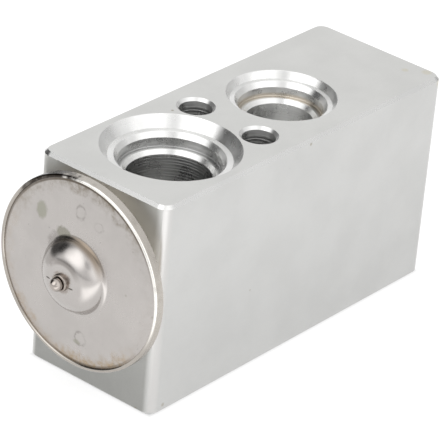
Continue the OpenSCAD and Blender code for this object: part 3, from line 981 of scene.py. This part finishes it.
    def finishes(self) -> list[Material]:
        """Makes the materials of the block.

        Returns:
            The materials, in the order of their indices.
        """
        half = self.bolt_pitch / 2.0
        side_y = -self.width / 2.0
        grime_and_shade: Colour = (0.30, 0.27, 0.20)
        yellowed: Colour = (0.58, 0.54, 0.42)
        top = (
            Speck((41.8, -8.7, self.height), 0.9, 0.5, yellowed),
            Speck((44.2, -12.0, self.height), 1.3, 0.5, yellowed),
            Speck((-4.6, 9.2, self.height), 0.35, 0.8, grime_and_shade),
        )
        side = (
            Speck((5.8, side_y, 41.5), 0.45, 0.6, grime_and_shade),
            Speck((-8.1, side_y, 16.5), 0.3, 0.4, grime_and_shade),
            Speck((44.6, -14.2, 41.4), 1.6, 0.6, yellowed),
            Speck((-30.5, side_y, 1.6), 0.5, 0.5, grime_and_shade),
        )
        end = (
            Speck((-self.head_end, -11.5, 0.6), 0.4, 0.6, grime_and_shade),
            Speck((-33.2, 14.2, 42.0), 0.7, 0.9, (0.08, 0.08, 0.07)),
        )
        return [finish.material() for finish in (
            MachinedAluminium("milled_port_face", Lay.ALONG_BLOCK, specks=top),
            # The side and end faces darken towards their lower edge as painted shade.
            MachinedAluminium("extruded_side", Lay.ALONG_BLOCK, (0.59, 0.59, 0.58), (0.595, 0.587, 0.575),
                              low_shade_share=0.08, specks=side),
            MachinedAluminium("milled_end", Lay.UPRIGHT, (0.62, 0.62, 0.597), gloss=(0.5, 0.6), low_shade_share=0.35,
                              pull=0.85, specks=end),
            MachinedAluminium("milled_chamfer", Lay.ALONG_BLOCK, (0.72, 0.72, 0.71), (0.74, 0.74, 0.73),
                              (0.22, 0.32)),
            BoredAluminium("bored_suction", (-self.suction_x, 0.0, 0.0), corner=self.corner(self.suction),
                           deep_shade=0.66),
            BoredAluminium("bored_inlet", (self.inlet_x, 0.0, 0.0), corner=self.corner(self.inlet), ring_shade=0.1,
                           ring_depth=0.004, corner_shade=0.55, residue_and_shade=(0.36, 0.28, 0.17), deep_shade=0.16),
            BoredAluminium("bored_outlet", (self.outlet_x, 0.0, 0.0), corner=self.corner(self.outlet),
                           ring_shade=0.1, ring_depth=0.004, corner_shade=0.45),
            BoredAluminium("drilled_bolt_left", (0.0, half, 0.0), pitch=0.8, ringed=19.8, deep_shade=0.3),
            BoredAluminium("drilled_bolt_right", (0.0, -half, 0.0), pitch=0.8, ringed=19.8, deep_shade=0.3),
            BoredAluminium("bored_axis", (0.0, 0.0, self.axis_z), axis="X", middle=0.0, ringed=100.0),
        )]


@dataclass
class PowerHead:
    """The welded power head in front of the block, in millimetres out of the block's end."""

    head_end: float = 33.8
    axis_z: float = 25.1
    head_r: float = 18.55
    rim_gap: float = 3.0
    base_top: float = 3.9
    flange: float = 4.6
    face_rise: float = 0.9
    clamp_w: float = 1.65
    sheet: float = 0.7
    bead_r: float = 0.38
    stack_r: float = 17.79
    dome_h: float = 3.7
    crown_r: float = 22.0
    crown_turn: float = 9.0
    dome_r: float = 4.6
    foot_r: float = 1.0
    charge_r: float = 0.9
    collar_r: float = 1.4
    collar_h: float = 0.65
    lip_r: float = 0.25
    plug_r: float = 1.25
    plug_u: float = 10.337
    foil_x: Pair = (-37.5, -36.87)

    SHEET, BEAD, WALL = range(3)

    def cover_outline(self) -> Outline:
        """Gives the cover's outline, from the charging hole over the dome and face, round the bead and back.

        Returns:
            The closed outline of (radius, height) pairs.
        """
        face = self.flange + self.face_rise
        dome_top = face + self.dome_h
        crown_turn = math.radians(self.crown_turn)
        shoulder = ((self.crown_r - self.dome_r) * math.sin(crown_turn),
                    dome_top - self.crown_r + (self.crown_r - self.dome_r) * math.cos(crown_turn))
        reach = self.dome_r + self.foot_r
        lean = math.degrees(math.asin((face + self.foot_r - shoulder[1]) / -reach))
        foot = (shoulder[0] + reach * math.cos(math.radians(lean)), face + self.foot_r)
        edge_u = self.flange + 0.05
        slope = (face - edge_u) / (self.stack_r - foot[0])
        lift_r = self.head_r - self.clamp_w - self.sheet
        lift_u = edge_u + (self.stack_r - lift_r) * slope - self.sheet
        bead = (self.head_r - self.bead_r, self.flange + 0.02)
        return [
            (self.charge_r, dome_top - self.sheet),
            (self.charge_r, dome_top + self.lip_r),
            *arc((self.collar_r, dome_top + self.collar_h - self.lip_r), self.lip_r, 170.0, 0.0, 10),
            *arc((0.0, dome_top - self.crown_r), self.crown_r, 85.7, 90.0 - self.crown_turn, 12),
            *arc(shoulder, self.dome_r, 90.0 - self.crown_turn, -lean, 36),
            *arc(foot, self.foot_r, 180.0 - lean, 270.0, 12),
            (self.stack_r - 0.12, edge_u + 0.01),
            (self.stack_r - 0.03, edge_u - 0.03),
            *arc(bead, self.bead_r, 180.0, 0.0, 16),
            (self.head_r, self.rim_gap + self.bead_r / 2.0),
            (self.head_r - self.bead_r / 2.0, self.rim_gap),
            (self.stack_r, self.rim_gap),
            (self.stack_r, self.base_top),
            (self.head_r - self.clamp_w, self.base_top),
            (lift_r, lift_u),
            *arc(foot, self.foot_r + self.sheet, 270.0, 180.0 - lean, 8),
            *arc(shoulder, self.dome_r - self.sheet, -lean, 90.0 - self.crown_turn, 10),
        ]

    def cover_finishes(self) -> list[Material]:
        """Makes the materials of the cover.

        Returns:
            The materials of its sheet, weld bead and rim, in the order of their indices.
        """
        green: Colour = (0.29, 0.29, 0.23)
        grey: Colour = (0.36, 0.34, 0.31)
        dark: Colour = (0.25, 0.23, 0.215)
        black: Colour = (0.08, 0.07, 0.06)
        scuff: Colour = (0.23, 0.2, 0.16)
        line: Colour = (0.1, 0.08, 0.06)
        seam_r = self.stack_r - 0.2
        stains = (
            Stain(9.0, 34.4, 2.7, 3.5, 0.7, green),
            Stain(9.0, 34.4, 2.9, 3.7, 0.6, grey, 0.85),
            Stain(-0.05, 37.5, 2.5, 2.9, 0.9, dark, 0.85),
            Stain(-4.4, 36.3, 2.3, 1.9, 0.8, dark, 0.85),
            Stain(-1.8, 12.8, 2.9, 3.2, 1.0, dark, 0.85),
            Stain(0.0, 25.1, 4.3, 4.3, 0.6, (0.2, 0.155, 0.12)),
            Stain(4.4, 29.4, 5.0, 5.4, 0.6, dark),
            Stain(-1.0, 11.8, 1.8, 1.0, 0.55, green),
            Stain(3.3, 32.3, 3.6, 2.4, 0.85, (0.26, 0.25, 0.21)),
            Stain(-17.5, 23.9, 0.5, 0.5, 0.8, grey),
            Stain(-11.6, 25.9, 0.45, 0.45, 0.8, grey),
            Stain(-12.2, 34.7, 0.5, 0.4, 0.7, grey),
            Stain(3.2, 24.62, 1.1, 0.32, 0.9, black),
            Stain(-2.25, 24.66, 1.0, 0.32, 0.9, black),
        )
        tints = (
            Burn(14.0, 48.0, 1.0, scuff),
            Burn(165.0, 46.0, 0.95),
            Burn(-140.0, 26.0, 0.55),
            Burn(-45.0, 30.0, 0.5, scuff),
            Burn(-95.0, 60.0, 0.25),
            Burn(85.0, 60.0, 0.15, scuff),
            # Painted shade: dark lines along the weld seam's valley.
            Burn(8.0, 75.0, 0.9, line, seam_r),
            Burn(165.0, 45.0, 0.6, line, seam_r),
            Burn(-60.0, 40.0, 0.5, line, seam_r),
            # Painted reflections: a dark ring round the dome's flat top, and a dark band on its foot at the upper
            # right.
            Burn(8.0, 68.0, 0.8, dark, 3.75, 0.8),
            Burn(24.0, 58.0, 0.85, (0.17, 0.13, 0.09), 7.15, 0.75),
        )
        face_x = -self.head_end - self.flange
        return [finish.material() for finish in (
            WeldedStainless("drawn_cover", self.axis_z, face_x, self.stack_r, tints=tints, stains=stains),
            # Each rim's first colour is a painted highlight on its upper right.
            WeldRim("weld_bead", self.axis_z, face_x, (0.88, 0.86, 0.82), (0.42, 0.39, 0.355)),
            WeldRim("rim_wall", self.axis_z, face_x, (0.5, 0.47, 0.43), (0.40, 0.365, 0.325), gloss=(0.2, 0.32)),
        )]

    def build_cover(self) -> None:
        """Spins the cover, and gives it its finishes."""
        bm = turned(self.cover_outline(), 256)
        for face in bm.faces:
            middle = face.calc_center_median() / MM
            if math.hypot(middle.x, middle.y) > self.stack_r - 0.01:
                face.material_index = self.BEAD if face.normal.z > 0.3 else self.WALL
        cover = link_mesh("head_cover_drawn", bm, out_of_head(self.head_end, self.axis_z))
        dress(cover, *self.cover_finishes())
        shade(cover, 30.0)
        settle(cover, Body.VALVE, "head_steel", "head_cover")

    def build_plug(self) -> None:
        """Makes the ball in the charging hole."""
        bm = bmesh.new()
        bmesh.ops.create_uvsphere(bm, u_segments=48, v_segments=32, radius=self.plug_r * MM)
        bmesh.ops.translate(bm, vec=(0.0, 0.0, self.plug_u * MM), verts=bm.verts)
        plug = link_mesh("charge_plug_ball", bm, out_of_head(self.head_end, self.axis_z))
        dress(plug, RolledSteel("plug_ball", (0.42, 0.38, 0.35), (0.03, 0.07)).material())
        shade(plug, 60.0)
        settle(plug, Body.VALVE, "plug_steel", "charge_plug")

    def build(self) -> None:
        """Builds the cover and plug, and finishes the base, the diaphragm and the seal behind them."""
        self.build_cover()
        self.build_plug()
        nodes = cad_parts
        dress(nodes["head_base"], WeldedStainless("drawn_base", self.axis_z, -self.head_end - self.rim_gap,
                                                  self.stack_r, (0.78, 0.72, 0.64), (0.4, 0.5)).material())
        foil = flexing("diaphragm", "diaphragm_disc", Body.STEM_TRAIN, *self.foil_x)
        dress(foil, RolledSteel("diaphragm_foil", (0.6, 0.59, 0.57)).material())
        shade(foil, 30.0)
        dress(nodes["head_seal"], MouldedRubber("head_o_ring").material())


@dataclass
class ValveTrain:
    """The pieces inside the block that move with the diaphragm, and the seals and spring round them."""

    brass: Colour = (0.62, 0.45, 0.2)
    steel: Colour = (0.55, 0.54, 0.53)
    spring_x: Pair = (24.6, 38.5)

    def build(self) -> None:
        """Finishes each inner CAD piece."""
        brass = TurnedMetal("turned_brass", self.brass).material()
        strip = RolledSteel("strip_steel", self.steel).material()
        finishes = {
            "diaphragm_pad": brass,
            "ball_carrier": brass,
            "sensing_stem": TurnedMetal("turned_stem", (0.6, 0.6, 0.58), pitch=0.5).material(),
            "push_pin": TurnedMetal("ground_pin", self.steel, (0.1, 0.2), 0.2, 0.002).material(),
            "valve_ball": RolledSteel("valve_ball_steel", self.steel, (0.06, 0.12), 4.0).material(),
            "seal_retainer": strip,
            "damping_ring": strip,
            "stem_seal": MouldedRubber("stem_o_ring").material(),
        }
        for node, finish in finishes.items():
            dress(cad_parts[node], finish)
        spring = flexing("valve_spring", "valve_spring_coil", Body.ADJUSTER_TRAVEL, *self.spring_x)
        dress(spring, RolledSteel("spring_wire", (0.38, 0.37, 0.35), (0.25, 0.4)).material())
        shade(spring, 40.0)


@dataclass
class Adjuster:
    """The adjusting screw with its thread and hex socket, in millimetres along the valve's axis."""

    axis_z: float = 25.1
    inner_x: float = 35.2
    step_x: float = 39.8
    outer_x: float = 44.8
    spigot_r: float = 6.25
    screw_r: float = 7.0
    groove: Pair = (36.13, 37.67)
    groove_r: float = 5.01
    cup_r: float = 3.8
    cup_x: float = 38.6
    hex_af: float = 6.0
    hex_x: float = 40.6
    hex_reach: float = 10.0
    pitch: float = 1.0
    thread_depth: float = 0.5
    edge: float = 0.5

    def outline(self) -> Outline:
        """Gives the screw's outline, with its thread as ridges of the real pitch and depth.

        Returns:
            The closed outline of (radius, place along the axis) pairs.
        """
        thread: Outline = []
        x = self.step_x
        while x < self.outer_x - self.pitch:
            thread += [(self.screw_r - self.thread_depth, x), (self.screw_r, x + self.pitch * 0.45),
                       (self.screw_r, x + self.pitch * 0.55)]
            x += self.pitch
        return [
            (0.0, self.cup_x), (self.cup_r, self.cup_x), (self.cup_r, self.inner_x),
            (self.spigot_r - self.edge, self.inner_x), (self.spigot_r, self.inner_x + self.edge),
            (self.spigot_r, self.groove[0]), (self.groove_r, self.groove[0]), (self.groove_r, self.groove[1]),
            (self.spigot_r, self.groove[1]), (self.spigot_r, self.step_x), *thread,
            (self.screw_r - self.thread_depth, self.outer_x - self.edge * 1.6),
            (self.screw_r, self.outer_x - self.edge), (self.screw_r - self.edge, self.outer_x),
            (0.0, self.outer_x),
        ]

    def key(self) -> Piece:
        """Makes the hex solid that the socket is cut with.

        Returns:
            The cutting solid.
        """
        bm = bmesh.new()
        radius = self.hex_af / 2.0 / math.cos(math.pi / 6.0)
        bmesh.ops.create_cone(bm, cap_ends=True, cap_tris=False, segments=6, radius1=radius * MM,
                              radius2=radius * MM, depth=self.hex_reach * MM)
        bmesh.ops.translate(bm, vec=(0.0, 0.0, (self.hex_x + self.hex_reach / 2.0) * MM), verts=bm.verts)
        return link_mesh("cut_hex", bm, along_axis(self.axis_z))

    def build(self) -> None:
        """Builds the screw, sinks its hex socket and finishes its seal."""
        screw = link_mesh("adjusting_screw_turned", turned(self.outline(), 128), along_axis(self.axis_z))
        tool = self.key()
        brass = TurnedMetal("screw_brass", (0.66, 0.5, 0.25), (0.2, 0.34)).material()
        dress(screw, brass)
        dress(tool, brass)
        carve(screw, tool)
        shade(screw, 24.0)
        settle(screw, Body.ADJUSTER, "screw_brass", "adjusting_screw")
        dress(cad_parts["adjuster_seal"], MouldedRubber("screw_o_ring").material())


@dataclass(frozen=True)
class Patch:
    """A soft light or dark patch of the studio's surroundings. Its places and sizes are in degrees."""

    azimuth: float
    elevation: float
    core: float
    reach: float
    strength: float

    def direction(self) -> Triple:
        """Gives the way from the object to the patch."""
        turn, rise = math.radians(self.azimuth), math.radians(self.elevation)
        return math.cos(turn) * math.cos(rise), math.sin(turn) * math.cos(rise), math.sin(rise)


@dataclass
class Studio:
    """Pale floor, soft light and the camera of the photograph. Places are in millimetres."""

    camera_at: Triple = (-412.741, -320.796, 307.282)
    camera_turn: Triple = (61.2584, -4.6026, -49.6604)
    camera_clip: float = 10.0
    lens: float = 264.606
    sensor: float = 36.0
    floor_half: float = 3000.0
    floor_drop: float = 0.03
    floor_paint: Colour = (0.3, 0.3, 0.3)
    floor_glow: float = 0.8
    side_x: Pair = (-74.0, -56.0)
    side_y: Pair = (-16.0, 1.0)
    side_far: Pair = (-120.0, -92.0)
    side_glow: float = 0.85
    dim_way: Triple = (-0.9, 0.44, 0.0)
    dim_reach: Pair = (230.0, 460.0)
    shade_x: Pair = (-33.8, 45.8)
    shade_y: float = 15.0
    shade_edge: Pair = (-3.0, 0.5)
    sky_least: float = 0.04
    patches: tuple[Patch, ...] = (
        Patch(166.0, 38.0, 14.0, 38.0, 1.15),
        Patch(-104.0, 28.0, 16.0, 46.0, 0.55),
        Patch(-139.0, 38.0, 4.0, 17.0, -0.55),
        Patch(0.0, 86.0, 12.0, 40.0, 0.3),
        Patch(98.0, 15.0, 13.0, 41.0, -0.88),
        Patch(126.0, 40.0, 8.0, 30.0, -0.52),
        Patch(-5.0, 3.0, 14.0, 42.0, -0.42),
    )

    def build_camera(self) -> None:
        """Puts the camera where the photograph was taken from."""
        data = bpy.data.cameras.new("photo_camera")
        data.lens = self.lens
        data.sensor_width = self.sensor
        data.clip_start = self.camera_clip * MM
        camera = bpy.data.objects.new("photo_camera", data)
        camera.location = Vector(self.camera_at) * MM
        camera.rotation_euler = [math.radians(a) for a in self.camera_turn]
        bpy.context.scene.collection.objects.link(camera)
        bpy.context.scene.camera = camera

    def floor_light(self, paint: Recipe) -> Socket:
        """Works out how much the floor glows: none under the block, more beside the head and less far away.

        Args:
            paint: The floor's material.

        Returns:
            The strength of the glow.
        """
        place = paint.place(centre=(sum(self.shade_x) / 2.0, 0.0, 0.0))
        x, y = paint.part(place, "X"), paint.part(place, "Y")
        beyond_x = paint.calc("SUBTRACT", paint.calc("ABSOLUTE", x), (self.shade_x[1] - self.shade_x[0]) / 2.0)
        beyond_y = paint.calc("SUBTRACT", paint.calc("ABSOLUTE", y), self.shade_y)
        glow = paint.band(paint.calc("MAXIMUM", beyond_x, beyond_y), *self.shade_edge, 0.0, self.floor_glow)
        side = paint.times(paint.band(x, *self.side_x, self.side_glow, 0.0), paint.band(y, *self.side_y, 1.0, 0.0))
        side = paint.times(side, paint.band(x, *self.side_far))
        near = paint.band(paint.dot(place, self.dim_way), *self.dim_reach, 1.0, 0.0)
        return paint.times(paint.plus(glow, side), near)

    def build_floor(self) -> None:
        """Lays the pale floor just below the block."""
        bm = bmesh.new()
        bmesh.ops.create_grid(bm, x_segments=1, y_segments=1, size=self.floor_half * MM)
        floor = link_mesh("studio_floor", bm, Matrix.Translation((0.0, 0.0, -self.floor_drop * MM)))
        paint = Recipe("floor_paint")
        paint.shader.inputs["Emission Color"].default_value = rgba((1.0, 1.0, 1.0))
        paint.feed(paint.shader.inputs["Emission Strength"], self.floor_light(paint))
        dress(floor, paint.finish(self.floor_paint, 0.8, metallic=0.0, specular=0.05))

    def build_light(self) -> None:
        """Surrounds the scene with a soft white sky that has a few lighter and darker patches."""
        world = bpy.data.worlds.new("studio_sky")
        world.use_nodes = True
        sky = next(n for n in world.node_tree.nodes if n.type == "BACKGROUND")
        sky.inputs["Color"].default_value = rgba((1.0, 1.0, 1.0))
        g = Graph(world.node_tree)
        way = g.add("ShaderNodeTexCoord", "Generated", {})
        level: object = 1.0
        for patch in self.patches:
            ends = (math.cos(math.radians(angle)) for angle in (patch.reach, patch.core))
            level = g.plus(level, g.band(g.dot(way, patch.direction()), *ends, 0.0, patch.strength))
        g.feed(sky.inputs["Strength"], g.calc("MAXIMUM", level, self.sky_least))
        bpy.context.scene.world = world
        bpy.context.scene.view_settings.view_transform = "Standard"

    def build(self) -> None:
        """Builds the whole studio."""
        self.build_camera()
        self.build_floor()
        self.build_light()


def main() -> None:
    """Builds the valve's looks and the studio, in order."""
    logging.basicConfig(level=logging.INFO, format="%(name)s: %(message)s")
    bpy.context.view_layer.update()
    for builder in (ValveBlock(), PowerHead(), ValveTrain(), Adjuster(), Studio()):
        log.info("building %s", type(builder).__name__)
        builder.build()


if __name__ == "__main__":
    main()
